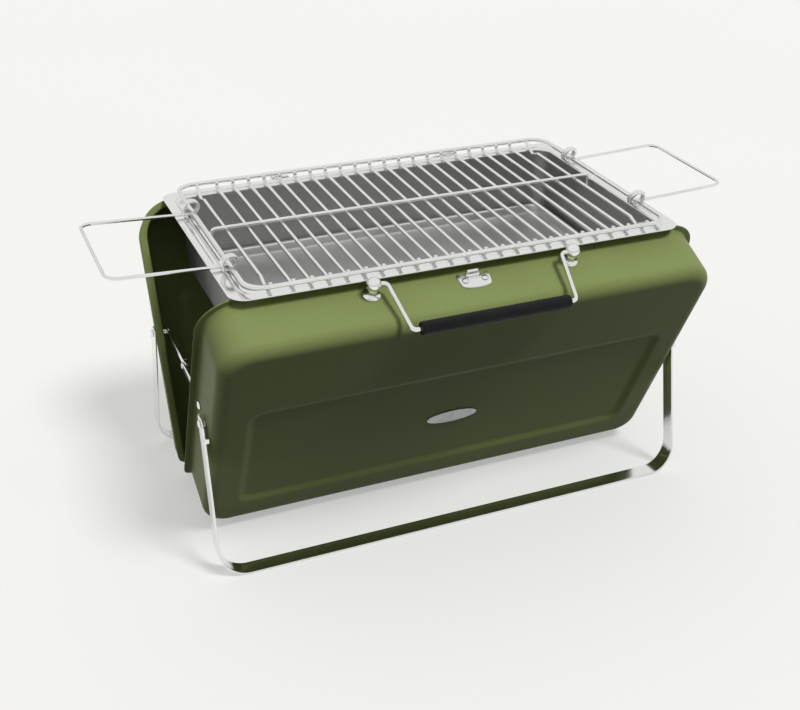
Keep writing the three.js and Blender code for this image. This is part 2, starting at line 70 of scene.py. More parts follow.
# ---- finishes ----
def node(tree, kind, settings=None, inputs=None):
    made = tree.nodes.new("ShaderNode" + kind)
    for key, value in (settings or {}).items():
        setattr(made, key, value)
    for key, value in (inputs or {}).items():
        socket = made.inputs[key]
        if hasattr(value, "bl_idname") and hasattr(value, "node"):
            tree.links.new(value, socket)
        else:
            socket.default_value = value
    return made


def grain(tree, where, scale):
    return node(tree, "TexNoise", inputs={"Vector": where, "Scale": scale, "Detail": 2.0}).outputs[0]


def ranged(tree, value, low, high, fromLow=0.3, fromHigh=0.7):
    made = node(tree, "MapRange", {"clamp": True},
                {"Value": value, "From Min": fromLow, "From Max": fromHigh, "To Min": low, "To Max": high})
    return made.outputs[0]


def blended(tree, share, one, other):
    made = node(tree, "Mix", {"data_type": "RGBA"}, {0: share, 6: one, 7: other})
    return made.outputs[2]


def rgb(red, green, blue):
    return (red, green, blue, 1.0)


# A finish: colour and roughness drift with a broad noise, and a fine one specks the colour and lifts the skin. A
# finish with a glow also gives off light of its own colour.
def finish(name, look):
    material = bpy.data.materials.new(name)
    material.use_nodes = True
    tree = material.node_tree
    shader = tree.nodes["Principled BSDF"]
    where = node(tree, "TexCoord").outputs["Object"]
    cloud = grain(tree, where, look["cloudScale"])
    speck = grain(tree, where, look["speckScale"])
    tone = blended(tree, ranged(tree, cloud, 0.0, 1.0), rgb(*look["dark"]), rgb(*look["light"]))
    dot = ranged(tree, speck, 1.0 - look["speck"], 1.0 + look["speck"])
    colour = node(tree, "VectorMath", {"operation": "SCALE"}, {0: tone, "Scale": dot})
    tree.links.new(colour.outputs[0], shader.inputs["Base Color"])
    tree.links.new(ranged(tree, cloud, *look["rough"]), shader.inputs["Roughness"])
    bump = node(tree, "Bump", inputs={"Strength": look["bump"], "Distance": look["lift"], "Height": speck})
    tree.links.new(bump.outputs[0], shader.inputs["Normal"])
    shader.inputs["Metallic"].default_value = look["metal"]
    shader.inputs["Specular IOR Level"].default_value = look.get("gloss", 0.5)
    if "glow" in look:
        tree.links.new(colour.outputs[0], shader.inputs["Emission Color"])
        shader.inputs["Emission Strength"].default_value = look["glow"]
    return material


looks = {
    "oliveEnamel": dict(dark=(0.196, 0.242, 0.086), light=(0.216, 0.266, 0.096), cloudScale=9, speckScale=900,
                        speck=0.05, rough=(0.40, 0.48), bump=0.10, lift=0.00025, metal=0.0, gloss=0.10),
    "polishedSteel": dict(dark=(0.82, 0.82, 0.82), light=(0.89, 0.89, 0.885), cloudScale=30, speckScale=1400,
                          speck=0.02, rough=(0.11, 0.19), bump=0.04, lift=0.0001, metal=1.0),
    "hingeSteel": dict(dark=(0.42, 0.42, 0.41), light=(0.55, 0.55, 0.54), cloudScale=60, speckScale=1500,
                       speck=0.06, rough=(0.30, 0.45), bump=0.15, lift=0.0002, metal=1.0),
    "blackGrip": dict(dark=(0.006, 0.006, 0.0065), light=(0.010, 0.010, 0.0105), cloudScale=40, speckScale=1800,
                      speck=0.25, rough=(0.42, 0.56), bump=0.35, lift=0.0003, metal=0.0, gloss=0.16),
    "badgeMetal": dict(dark=(0.36, 0.36, 0.37), light=(0.45, 0.45, 0.46), cloudScale=120, speckScale=2500,
                       speck=0.05, rough=(0.26, 0.34), bump=0.10, lift=0.0001, metal=1.0),
    "paleFloor": dict(dark=(0.426, 0.424, 0.414), light=(0.430, 0.428, 0.418), cloudScale=1.2, speckScale=300,
                      speck=0.004, rough=(0.85, 0.95), bump=0.02, lift=0.0002, metal=0.0, gloss=0.1, glow=0.95),
}
oliveEnamel, polishedSteel, hingeSteel, blackGrip, badgeMetal, paleFloor = (
    finish(name, look) for name, look in looks.items())

# The tray and the charcoal pan are drawn sheets: grainy on their walls and floor, and polished above a given
# height in metres.
# the outside share is painted shade: the part of the wall colour kept where the walls face outwards
sheetLooks = {
    "traySteel": dict(edge=0.2748, band=0.0012, wall=(0.440, 0.440, 0.440), top=(0.86, 0.86, 0.855),
                      wallRough=0.42, topRough=0.10, speckScale=1300, speck=0.14, outside=0.5),
    "coalSteel": dict(edge=0.2162, band=0.0012, wall=(0.66, 0.66, 0.66), top=(0.88, 0.88, 0.88),
                      wallRough=0.38, topRough=0.24, speckScale=1300, speck=0.10, outside=1.0),
}


sheetGrain = dict(cloudScale=11.0, drift=1.12, ripple=(0.9, 1.25), bump=0.10, lift=0.0002, turnover=0.05)


def sheetFinish(name, look):
    material = bpy.data.materials.new(name)
    material.use_nodes = True
    tree = material.node_tree
    shader = tree.nodes["Principled BSDF"]
    where = node(tree, "TexCoord").outputs["Object"]
    height = node(tree, "SeparateXYZ", inputs={0: where}).outputs[2]
    share = ranged(tree, height, 0.0, 1.0, look["edge"], look["edge"] + look["band"])
    speck = grain(tree, where, look["speckScale"])
    cloud = grain(tree, where, sheetGrain["cloudScale"])
    paler = [sheetGrain["drift"] * part for part in look["wall"]]
    drift = blended(tree, ranged(tree, cloud, 0.0, 1.0), rgb(*look["wall"]), rgb(*paler))
    dots = ranged(tree, speck, 1.0 - look["speck"], 1.0 + look["speck"])
    # painted shade: outside, where the place and the normal point the same way, the walls' colour is darkened,
    # standing in for the shade they lie in
    facing = node(tree, "VectorMath", {"operation": "DOT_PRODUCT"},
                  {0: where, 1: node(tree, "TexCoord").outputs["Normal"]}).outputs["Value"]
    paintedShade = ranged(tree, facing, 1.0, look["outside"], -sheetGrain["turnover"], sheetGrain["turnover"])
    dots = node(tree, "Math", {"operation": "MULTIPLY"}, {0: dots, 1: paintedShade}).outputs[0]
    wallTone = node(tree, "VectorMath", {"operation": "SCALE"}, {0: drift, "Scale": dots})
    tree.links.new(blended(tree, share, wallTone.outputs[0], rgb(*look["top"])), shader.inputs["Base Color"])
    rough = ranged(tree, share, look["wallRough"], look["topRough"], 0.0, 1.0)
    ripple = ranged(tree, cloud, *sheetGrain["ripple"])
    roughness = node(tree, "Math", {"operation": "MULTIPLY"}, {0: rough, 1: ripple})
    tree.links.new(roughness.outputs[0], shader.inputs["Roughness"])
    bump = node(tree, "Bump",
                inputs={"Strength": sheetGrain["bump"], "Distance": sheetGrain["lift"], "Height": speck})
    tree.links.new(bump.outputs[0], shader.inputs["Normal"])
    shader.inputs["Metallic"].default_value = 1.0
    return material


traySteel = sheetFinish("traySteel", sheetLooks["traySteel"])
coalSteel = sheetFinish("coalSteel", sheetLooks["coalSteel"])
print("finishes made")


# ---- making shapes ----
# A closed skin over a grid of points: rows lie along the piece and columns run round it. Each row joins the next
# with quads, and the first and last rows close to their own middles, unless the rows themselves form a ring.
def skin(points, ring=False):
    rows, columns = points.shape[:2]
    index = np.arange(rows * columns).reshape(rows, columns)
    here, ahead = (index, np.roll(index, -1, axis=0)) if ring else (index[:-1], index[1:])
    quads = np.stack([here, np.roll(here, -1, axis=1), np.roll(ahead, -1, axis=1), ahead], axis=-1).reshape(-1, 4)
    verts, tris = points.reshape(-1, 3), np.zeros((0, 3), int)
    if not ring:
        first, last = index[0], index[-1]
        middles = np.full(columns, rows * columns)
        tris = np.concatenate([np.stack([np.roll(first, -1), first, middles], axis=-1),
                               np.stack([last, np.roll(last, -1), middles + 1], axis=-1)])
        verts = np.concatenate([verts, points[[0, -1]].mean(axis=1)])
    # six times the volume is the sum of a . (b x c) over the triangles; if it is negative the skin is inside out
    every = np.concatenate([quads[:, [0, 1, 2]], quads[:, [0, 2, 3]], tris])
    a, b, c = verts[every[:, 0]], verts[every[:, 1]], verts[every[:, 2]]
    if np.einsum("ij,ij->", a - verts[0], np.cross(b - verts[0], c - verts[0])) < 0:
        quads, tris = quads[:, ::-1], tris[:, ::-1]
    return verts, quads, tris


def addPiece(name, shells, material, body, slotName, *nodes, sharp=38.0):
    verts, faces, start = [], [], 0
    for points, quads, tris in shells:
        verts.append(points * mm)
        faces += (quads + start).tolist() + (tris + start).tolist()
        start += len(points)
    mesh = bpy.data.meshes.new(name)
    mesh.from_pydata(np.concatenate(verts).tolist(), [], faces)
    mesh.materials.append(material)
    mesh.shade_smooth()
    mesh.set_sharp_from_angle(angle=np.radians(sharp))
    piece = bpy.data.objects.new(name, mesh)
    bpy.context.scene.collection.objects.link(piece)
    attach(piece, body)
    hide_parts(*nodes)
    return piece


def unit(vectors):
    return vectors / np.linalg.norm(vectors, axis=-1, keepdims=True)


def smoothStep(value):
    held = np.clip(value, 0.0, 1.0)
    return held * held * (3.0 - 2.0 * held)


# Pan places to the grill's frame: y = -(s sin a + d cos a) and z = hinge height + s cos a - d sin a in front,
# and the same turned half a turn about z behind.
def onPan(end, x, s, d):
    x, s, d = np.broadcast_arrays(x, s, d)
    out = s * np.sin(openAngle) + d * np.cos(openAngle)
    z = hingeHeight + s * np.cos(openAngle) - d * np.sin(openAngle)
    turn = 1.0 if end == "front" else -1.0
    return np.stack([turn * x, -turn * out, z], axis=-1)


# The directions to the right along a pan, up its rim plane and out from it.
def panAxes(end):
    corner = onPan(end, 0.0, 0.0, 0.0)
    return [onPan(end, *step) - corner for step in np.eye(3)]


def atHeight(row, z):
    return np.column_stack([row, np.full(len(row), z)])


# A rounded rectangle as one row of points: four quarter turns of their own radius, joined by straight runs that
# always hold the same number of points, so that rows of different sizes match point for point.
def roundRow(x0, x1, y0, y1, lowCorner, highCorner=None, turns=10, across=20, up=20):
    highCorner = lowCorner if highCorner is None else highCorner
    low, high = max(lowCorner, 0.05), max(highCorner, 0.05)
    quarter = np.linspace(0.0, np.pi / 2, turns + 1)
    corners = [(x1 - low, y0 + low, low, -1), (x1 - high, y1 - high, high, 0),
               (x0 + high, y1 - high, high, 1), (x0 + low, y0 + low, low, 2)]
    arcs = [np.stack([cx + r * np.cos(quarter + k * np.pi / 2), cy + r * np.sin(quarter + k * np.pi / 2)], axis=-1)
            for cx, cy, r, k in corners]
    row = []
    for arc, following, count in zip(arcs, arcs[1:] + arcs[:1], (up, across, up, across)):
        share = np.linspace(0.0, 1.0, count + 2)[1:-1, None]
        row += [arc, arc[-1] * (1 - share) + following[0] * share]
    return np.concatenate(row)


# A row moved inwards by an amount, square to the row's own direction.
def insetRow(row, amount):
    along = unit(np.roll(row, -1, axis=0) - np.roll(row, 1, axis=0))
    return row + amount * np.stack([-along[:, 1], along[:, 0]], axis=-1)


# A strip seen from its edge: at every station of a path, the thicknesses are laid off square to the path.
def laidOff(path, thicknesses):
    along = unit(np.gradient(path, axis=0))
    normal = np.stack([-along[:, 1], along[:, 0]], axis=-1)
    return path[:, None] + thicknesses[None, :, None] * normal[:, None]


# A folded sheet: its section (width, thickness) goes along a path of (out, up) places, as wide as each asks.
def foldedSheet(path, section, wide, origin, across, out, up):
    flat = laidOff(path, section[:, 1])
    side = section[None, :, :1] * np.reshape(wide, (-1, 1, 1))
    return skin(origin + side * across + flat[..., :1] * out + flat[..., 1:] * up)


# A flat piece: its outline (anticlockwise, in its own plane) carried through its thickness, edges rounded over.
def slab(outline, thickness, edge, origin, across, up, out):
    eased = 0.3 * edge
    depths = [0.0, eased, edge, thickness - edge, thickness - eased, thickness]
    insets = [edge, eased, 0.0, 0.0, eased, edge]
    rows = [np.asarray(origin) + flat[:, :1] * across + flat[:, 1:] * up + depth * np.asarray(out)
            for flat, depth in ((insetRow(outline, inset), depth) for inset, depth in zip(insets, depths))]
    return skin(np.stack(rows))


# A turned piece: at each (along, radius) of the profile, origin + along axis + radius (cos q, sin q) across it.
def turned(profile, origin, axis, sides=32):
    profile, axis = np.asarray(profile, float), unit(np.asarray(axis, float))
    one = unit(np.cross(axis, yAxis if abs(axis[1]) < 0.9 else xAxis))
    other = np.cross(axis, one)
    around = np.linspace(0.0, 2 * np.pi, sides, endpoint=False)
    ringDirections = np.cos(around)[:, None] * one + np.sin(around)[:, None] * other
    return skin(np.asarray(origin) + profile[:, :1, None] * axis + profile[:, 1:, None] * ringDirections)


wireEnd = dict(most=0.35, share=0.3)


# A round wire: at every station p + r (cos q n + sin q b), with b the given side vector made square to the
# wire's direction t, and n = b x t.
def tube(path, radius, side, sides=14, ring=False):
    if ring:
        along = unit(np.roll(path, -1, axis=0) - np.roll(path, 1, axis=0))
    else:
        along = unit(np.gradient(path, axis=0))
    side = np.broadcast_to(side, path.shape)
    across = unit(np.cross(side, along))
    side = np.cross(along, across)
    around = np.linspace(0.0, 2 * np.pi, sides, endpoint=False)
    points = path[:, None] + radius * (np.cos(around)[:, None] * across[:, None]
                                       + np.sin(around)[:, None] * side[:, None])
    if not ring:  # the cut ends are eased by a small chamfer
        ease = min(wireEnd["most"], wireEnd["share"] * radius)
        tips = [path[0] - ease * along[0], path[-1] + ease * along[-1]]
        first = tips[0] + (points[0] - path[0]) * (1 - ease / radius)
        last = tips[1] + (points[-1] - path[-1]) * (1 - ease / radius)
        points = np.concatenate([first[None], points, last[None]])
    return skin(points, ring)


# A route with its corners rounded: the arc between the two tangent points of each corner, in equal steps.
def roundPath(corners, radius, steps=8):
    corners = np.asarray(corners, float)
    parts = [corners[:1]]
    for before, corner, after in zip(corners, corners[1:], corners[2:]):
        back, ahead = unit(before - corner), unit(after - corner)
        half = np.arccos(np.clip(back @ ahead, -1, 1)) / 2
        centre = corner + unit(back + ahead) * radius / np.sin(half)
        start = corner + back * radius / np.tan(half) - centre
        stop = corner + ahead * radius / np.tan(half) - centre
        turn = np.arccos(np.clip(start @ stop / radius ** 2, -1, 1))
        share = np.linspace(0.0, 1.0, steps + 1)[:, None]
        parts.append(centre + (np.sin((1 - share) * turn) * start + np.sin(share * turn) * stop) / np.sin(turn))
    return np.concatenate(parts + [corners[-1:]])


# A dome over a flat ring, as (along, radius) from its foot to just short of its top.
def dome(foot, radius, height, steps=7):
    lift = np.linspace(0.0, 0.47 * np.pi, steps)
    return np.stack([foot + height * np.sin(lift), radius * np.cos(lift)], axis=-1)


# ---- the pans ----
pan = dict(halfLength=239.0, bottom=8.0, top=273.5, depth=56.5, sheet=1.2, topCorner=31.0, bottomCorner=25.0,
           edgeRound=12.0, rim=6.2, topRimShare=0.935, rimLow=20.0, rimHigh=27.0, rimDepth=0.3, fillet=1.6,
           cutDepth=3.9, hold=1.5, rimHold=1.2)
recess = dict(halfLength=209.0, bottom=40.0, top=189.0, corner=15.0, slope=8.0, depth=3.0, soften=1.2, flat=6.0)


def panRow(inset):
    out = max(-inset, 0.0) * (1 - pan["topRimShare"])
    return roundRow(-pan["halfLength"] + inset, pan["halfLength"] - inset, pan["bottom"] + inset,
                    pan["top"] - inset - out, pan["bottomCorner"] - inset, pan["topCorner"] - inset,
                    turns=16, across=30, up=24)


def recessRow(inset):
    return roundRow(-recess["halfLength"] + inset, recess["halfLength"] - inset, recess["bottom"] + inset,
                    recess["top"] - inset, recess["corner"] - inset, turns=16, across=30, up=24)


# One pan as a single closed skin, drawn outwards from the middle of the recess, over the face, the rounded edge
# and the walls, out along the rim, and back along the inside. The rim fades out near the bottom corners. A row at
# a short hold before and after each bend keeps the flats beside it flat.
def panSkin(end):
    depth, sheet, bend, face, hold = (pan[key] for key in ("depth", "sheet", "edgeRound", "rimDepth", "hold"))

    def recessRows(level):
        soft = recess["soften"]
        inset = np.linspace(recess["slope"] + soft, -soft, 12)
        drop = recess["depth"] * smoothStep((inset + soft) / (recess["slope"] + 2 * soft))
        found = [(recessRow(recess["slope"] + recess["flat"]), level - recess["depth"])]
        found += [(recessRow(i), level - d) for i, d in zip(inset, drop)]
        return found + [(recessRow(-soft - hold), level)]

    def bendRows(inside):
        radius = bend - inside
        angle = np.linspace(0.0, np.pi / 2, 11)
        found = [(panRow(bend + hold), depth - inside)]
        found += [(panRow(inside + radius * (1 - np.sin(q))), depth - inside - radius * (1 - np.cos(q)))
                  for q in angle]
        return found + [(panRow(inside), depth - bend - hold)]

    rows = recessRows(depth) + bendRows(0.0)
    # the rim's section as (offset out, depth), with its match for the plain cut edge below the rim
    fillet, rim = pan["fillet"], pan["rim"]
    curl = np.linspace(0.0, np.pi / 2, 6)
    outer = [(fillet * (1 - np.cos(q)), face + sheet + fillet * (1 - np.sin(q))) for q in curl]
    inner = [((fillet + sheet) * (1 - np.cos(q)) - sheet, face + (fillet + sheet) * (1 - np.sin(q)))
             for q in curl[::-1]]
    wall = face + sheet + fillet + pan["rimHold"]
    flange = [(0.0, wall)] + outer + [
        (rim - 0.5, face + sheet), (rim - 0.15, face + sheet - 0.15), (rim, face + 0.7 * sheet),
        (rim, face + 0.3 * sheet), (rim - 0.15, face + 0.1), (rim - 0.5, face), (rim - 1.2, face),
    ] + inner + [(-sheet, wall)]
    plain = [(-sheet * smoothStep((t - 0.35) / 0.3), face + pan["cutDepth"] * np.abs(2 * t - 1) ** 1.5)
             for t in np.linspace(0.0, 1.0, len(flange))]
    for (outRim, deepRim), (outPlain, deepPlain) in zip(flange, plain):
        wide, bare = panRow(-outRim), panRow(-outPlain)
        share = smoothStep((bare[:, 1] - pan["rimLow"]) / (pan["rimHigh"] - pan["rimLow"]))
        rows.append((bare + (wide - bare) * share[:, None], deepPlain + (deepRim - deepPlain) * share))
    rows += bendRows(sheet)[::-1] + recessRows(depth - sheet)[::-1]
    grid = np.stack([onPan(end, row[:, 0], row[:, 1], deep) for row, deep in rows])
    return [skin(grid)]


for end in ("front", "back"):
    addPiece(end + "PanShell", panSkin(end), oliveEnamel, end + "_pan", "olive_enamel", end + "_shell")
print("pans made")

# ---- strap legs ----
leg = dict(strap=16.0, sheet=2.0, halfLength=243.5, footY=123.0, bend=29.0, tabBelow=10.5, tabOut=4.6, tabIn=4.1,
           tabTall=5.0)
legPivot = dict(s=151.0, d=31.5)


def pivotPlace(pivot):
    place = onPan("front", 0.0, pivot["s"], pivot["d"])
    return -place[1], place[2]  # distance out from the middle, and height


# The strap: a flat rounded section carried down one side, round a bend, along the floor and up the other side.
# Its width follows a half circle above each pivot, and the whole strap leans outwards on its way down.
def strapLeg(end):
    outY, height = pivotPlace(legPivot)
    turn = -1.0 if end == "front" else 1.0
    lean = (leg["footY"] - outY) / height
    half, bend = leg["halfLength"] - leg["sheet"] / 2, leg["bend"] - leg["sheet"] / 2
    low = -height + leg["bend"]
    eye = leg["strap"] / 2
    lift = np.radians([84, 76, 66, 54, 40, 24, 8])
    topRun = np.stack([np.full(7, -half), eye * np.sin(lift)], axis=-1)
    downRun = np.stack([np.full(8, -half), np.linspace(-2.0, low + 4.0, 8)], axis=-1)
    sweep = np.linspace(0.0, np.pi / 2, 17)
    corner = np.stack([-half + bend - bend * np.cos(sweep), low - bend * np.sin(sweep)], axis=-1)
    floorRun = np.array([[-half + bend + 6.0, low - bend], [-60.0, low - bend]])
    leftHalf = np.concatenate([topRun, downRun, corner, floorRun])
    path = np.concatenate([leftHalf, leftHalf[::-1] * [-1, 1]])
    width = np.cos(np.arcsin(np.clip(path[:, 1] / eye, 0.0, 0.9999)))
    section = roundRow(-eye, eye, -leg["sheet"] / 2, leg["sheet"] / 2, 0.75, turns=4, across=3, up=1)
    flat = laidOff(path, section[:, 1])
    y = section[None, :, 0] * width[:, None] + turn * -lean * flat[..., 1]
    points = np.stack([flat[..., 0], y + turn * outY, flat[..., 1] + height], axis=-1)
    shells = [skin(points)]
    # a stop tab below each pivot: it leaves the strap's outer edge and is bent in towards the pan's wall
    edgeY = turn * (outY + lean * leg["tabBelow"] + eye - 0.6)
    for side in (-1.0, 1.0):
        tab = roundRow(0.0, leg["tabIn"], -leg["tabTall"] / 2, leg["tabTall"] / 2, 1.0, turns=4, across=2, up=1)
        shells.append(slab(tab, leg["tabOut"], 0.4, [side * leg["halfLength"], edgeY, height - leg["tabBelow"]],
                           -side * xAxis, zAxis, turn * yAxis))
    return shells


for end in ("front", "back"):
    addPiece(end + "StrapLeg", strapLeg(end), polishedSteel, end + "_leg", "polished_steel", end + "_leg")

# ---- rivets through the side walls ----
rivet = dict(shank=1.8, head=4.2, height=1.8, innerLeg=3.2, innerStay=3.4, innerTop=2.6, spacer=4.6)
stay = dict(width=8.0, sheet=1.5, frontPlane=235.9, backPlane=233.9)
stayPivot = dict(s=152.0, d=12.0)
wallOut, wallIn = pan["halfLength"], pan["halfLength"] - pan["sheet"]
runGap = 0.3  # clearance between pieces that move or lie on each other


def headOver(foot):
    return np.concatenate([[[foot, rivet["shank"]], [foot, rivet["head"] - 0.3], [foot + 0.3, rivet["head"]]],
                           dome(foot + 0.3, rivet["head"], rivet["height"] - 0.3)])


# Disc and shank profiles run outwards along x from the inside of the wall.
def legRivetProfile():
    spacer = leg["halfLength"] - leg["sheet"] - runGap
    shank, inner = rivet["shank"], rivet["innerLeg"]
    inside = [[wallIn - 1.5, rivet["innerTop"]], [wallIn - 1.1, inner], [wallIn - runGap, inner],
              [wallIn - runGap, shank], [wallOut + runGap, shank], [wallOut + runGap, rivet["spacer"]],
              [spacer, rivet["spacer"]], [spacer, shank]]
    return np.concatenate([inside, headOver(leg["halfLength"] + runGap)])


def stayRivetProfile(plane):
    link = plane - stay["sheet"] - runGap
    shank, inner = rivet["shank"], rivet["innerStay"]
    inside = [[link - 1.3, rivet["innerTop"]], [link - 0.9, inner], [link, inner], [link, shank],
              [plane + runGap, shank], [plane + runGap, inner], [wallIn - runGap, inner], [wallIn - runGap, shank]]
    return np.concatenate([inside, headOver(wallOut + runGap)])


for end in ("front", "back"):
    for kind, pivot, profile in (("leg", legPivot, legRivetProfile()),
                                 ("stay", stayPivot, stayRivetProfile(stay[end + "Plane"]))):
        for side, sign in (("left", -1.0), ("right", 1.0)):
            place = onPan(end, 0.0, pivot["s"], pivot["d"])
            addPiece(f"{end}{kind.title()}Rivet{side.title()}", [turned(profile, place, sign * xAxis)],
                     polishedSteel, end + "_pan", "polished_steel", f"{end}_{kind}_rivet_{side}")

# ---- folding stays ----
elbow = dict(head=4.2, height=1.8, tabFrom=4.5, tabLong=7.0, tabWide=5.0, tabSqueeze=0.9, tabSheet=1.2, tabBehind=2.2)


# A flat bar with round ends between two places along y.
def stayBar(y0, y1, height, x, out):
    half = stay["width"] / 2
    outline = roundRow(min(y0, y1) - half, max(y0, y1) + half, -half, half, half - 0.01, turns=12, across=10, up=1)
    return slab(outline, stay["sheet"], 0.35, [x, 0.0, height], yAxis, zAxis, out * xAxis)


stayOut, stayHeight = pivotPlace(stayPivot)
for side, sign in (("left", -1.0), ("right", 1.0)):
    name = side.title()
    front = stayBar(-stayOut, 0.0, stayHeight, sign * (stay["frontPlane"] - stay["sheet"]), sign)
    back = stayBar(0.0, stayOut, stayHeight, sign * (stay["backPlane"] - stay["sheet"]), sign)
    addPiece(f"frontStayLink{name}", [front], polishedSteel, f"front_stay_{side}", "polished_steel",
             f"front_stay_link_{side}")
    # a stop tab is bent inwards from the top edge of the back link, next to the elbow
    tab = roundRow(elbow["tabFrom"], elbow["tabFrom"] + elbow["tabLong"], -elbow["tabWide"] / 2,
                   elbow["tabWide"] / 2, 1.2, turns=4, across=2, up=1)
    tabPlace = [sign * (stay["backPlane"] - elbow["tabBehind"]), 0.0,
                stayHeight + stay["width"] / 2 - elbow["tabSheet"]]
    tabShell = slab(tab, elbow["tabSheet"], 0.3, tabPlace, yAxis, -sign * elbow["tabSqueeze"] * xAxis, zAxis)
    addPiece(f"backStayLink{name}", [back, tabShell], polishedSteel, f"back_stay_{side}", "polished_steel",
             f"back_stay_link_{side}")
    foot = stay["backPlane"] - stay["sheet"] - runGap
    inner = dome(0.0, elbow["head"], elbow["height"])[::-1] * [-1, 1] + [foot, 0]
    tip = stay["frontPlane"] + 0.2
    profile = np.concatenate([inner, [[foot, elbow["head"]], [foot, rivet["shank"]], [tip, rivet["shank"]],
                                      [tip, 2.6], [tip + 0.5, 2.2]]])
    addPiece(f"elbowRivet{name}", [turned(profile, [0.0, 0.0, stayHeight], sign * xAxis)], polishedSteel,
             f"back_stay_{side}", "polished_steel", f"elbow_rivet_{side}")
print("legs and stays made")

# ---- firebox tray ----
tray = dict(openX=201.0, openY=112.0, openCorner=14.0, endX=217.5, endY=126.9, endCorner=16.0, top=277.5,
            sheet=1.0, floorX=199.5, floorY=110.0, floor=206.5, floorRound=4.0, lipRound=1.6,
            grooveAt=0.36, grooveWide=0.050, grooveDeep=0.55, ribs=(207.6, 212.6), ribWide=1.35, ribHigh=0.62,
            ribHalf=54.0, ribFade=7.0)


def trayRow(halfX, halfY, corner):
    return roundRow(-halfX, halfX, -halfY, halfY, corner, turns=12, across=30, up=34)


# The flange's rows, f = 0 at the opening and 1 at the outer edge. Its height is the flat top, less a bell-shaped
# groove round the opening, plus two long ribs at each end that fade out before the handle coils.
def flangeRow(f):
    row = trayRow(tray["openX"] + f * (tray["endX"] - tray["openX"]),
                  tray["openY"] + f * (tray["endY"] - tray["openY"]),
                  tray["openCorner"] + f * (tray["endCorner"] - tray["openCorner"]))
    z = tray["top"] - tray["grooveDeep"] * np.exp(-((f - tray["grooveAt"]) / tray["grooveWide"]) ** 2)
    lengthwise = smoothStep((tray["ribHalf"] - np.abs(row[:, 1])) / tray["ribFade"])
    ribs = sum(np.exp(-((np.abs(row[:, 0]) - at) / tray["ribWide"]) ** 2) for at in tray["ribs"])
    return np.column_stack([row, z + tray["ribHigh"] * ribs * lengthwise])


# A sunk wall from the opening down to the floor, shifted outwards by the sheet on its outer side. It turns into
# the floor round a quarter bend.
def hopperRows(shift, lower):
    drop = tray["top"] - tray["lipRound"] - tray["floor"]
    rows = []
    for share in (0.0, 0.25, 0.5, 0.75, 0.93):  # straight, and stopping short of the bend
        rows.append((tray["openX"] + shift - share * (tray["openX"] - tray["floorX"]),
                     tray["openY"] + shift - share * (tray["openY"] - tray["floorY"]),
                     tray["top"] - tray["lipRound"] - share * drop))
    for q in np.linspace(0.1, np.pi / 2, 7):
        pull = tray["floorRound"] * (1 - np.cos(q))
        rise = tray["floorRound"] * (1 - np.sin(q))
        rows.append((tray["floorX"] + shift - pull, tray["floorY"] + shift - pull, tray["floor"] + lower + rise))
    return [atHeight(trayRow(x, y, tray["openCorner"]), z) for x, y, z in rows]


def traySkin():
    def level(f, z):
        return atHeight(flangeRow(f)[:, :2], z)

    under = tray["top"] - tray["sheet"]
    outside = hopperRows(tray["sheet"], 0.0)[::-1]
    edge = [level(0.1, under), level(0.97, under), level(0.992, under + 0.12), level(1.0, under + 0.4),
            level(1.0, under + 0.7), level(0.992, tray["top"] - 0.08)]
    top = [flangeRow(f) for f in np.concatenate([np.linspace(0.97, 0.56, 18), np.linspace(0.53, 0.14, 20)])]
    turn = np.linspace(0.0, np.pi / 2, 7)
    lip = [level(0.09 * (1 - np.sin(q)), tray["top"] - tray["lipRound"] * (1 - np.cos(q))) for q in turn]
    inside = hopperRows(0.0, tray["sheet"])
    return [skin(np.stack(outside + edge + top + lip + inside))]


addPiece("fireboxTray", traySkin(), traySteel, "firebox", "polished_steel", "firebox_tray", sharp=50.0)

# ---- charcoal pan ----
coal = dict(halfLength=191.0, halfWidth=103.0, floor=207.8, top=218.2, lip=4.0, sheet=0.9, corner=12.0, taper=0.8)


# A shallow pan: flat floor, short tapering wall, and a rim folded out and down all round.
def coalSkin():
    def row(grow, z):
        corner = max(coal["corner"] + grow, 2.0)
        return atHeight(trayRow(coal["halfLength"] + grow, coal["halfWidth"] + grow, corner), z)

    floor, top, sheet, lip, taper = (coal[key] for key in ("floor", "top", "sheet", "lip", "taper"))
    outside = [row(-40.0, floor), row(-taper - 1.6, floor), row(-taper - 0.5, floor + 0.4),
               row(-taper, floor + 1.4), row(-0.2, top - 2.6), row(0.2, top - 1.9)]
    rim = [row(lip - 1.1, top - 1.9), row(lip - 0.9, top - 3.0), row(lip - 0.2, top - 3.1),
           row(lip, top - 2.6), row(lip, top - 1.0), row(lip - 0.3, top - 0.3), row(lip - 0.9, top),
           row(0.9, top), row(0.3, top - 0.12), row(-0.4, top - 0.5), row(-0.9, top - 1.2)]
    inner = floor + sheet
    inside = [row(-taper - 0.7, inner + 2.2), row(-taper - 1.1, inner + 1.0), row(-taper - 2.0, inner + 0.25),
              row(-taper - 3.2, inner), row(-taper - 6.0, inner), row(-40.0, inner)]
    return [skin(np.stack(outside + rim + inside))]


addPiece("charcoalPan", coalSkin(), coalSteel, "coal_pan", "tray_steel", "charcoal_pan", sharp=45.0)
print("tray and charcoal pan made")

# ---- cooking grate ----
grate = dict(halfLength=202.5, halfWidth=123.5, height=284.5, wire=2.1, corner=18.0, rod=1.8, rodsEachSide=10,
             pitch=16.2, endRodX=182.0, tip=1.5, dip=4.2, dipFrom=4.5, dipY=103.0, levelY=91.0, bend=3.0,
             spineY=13.0, spineHalf=197.0, spineEnd=11.0, spineBend=5.0, weld=0.3)
rodLevel = tray["top"] + runGap + grate["rod"]


def frameLoop():
    row = roundRow(-grate["halfLength"], grate["halfLength"], -grate["halfWidth"], grate["halfWidth"],
                   grate["corner"], turns=16, across=6, up=4)
    return [tube(atHeight(row, grate["height"]), grate["wire"], zAxis, sides=20, ring=True)]


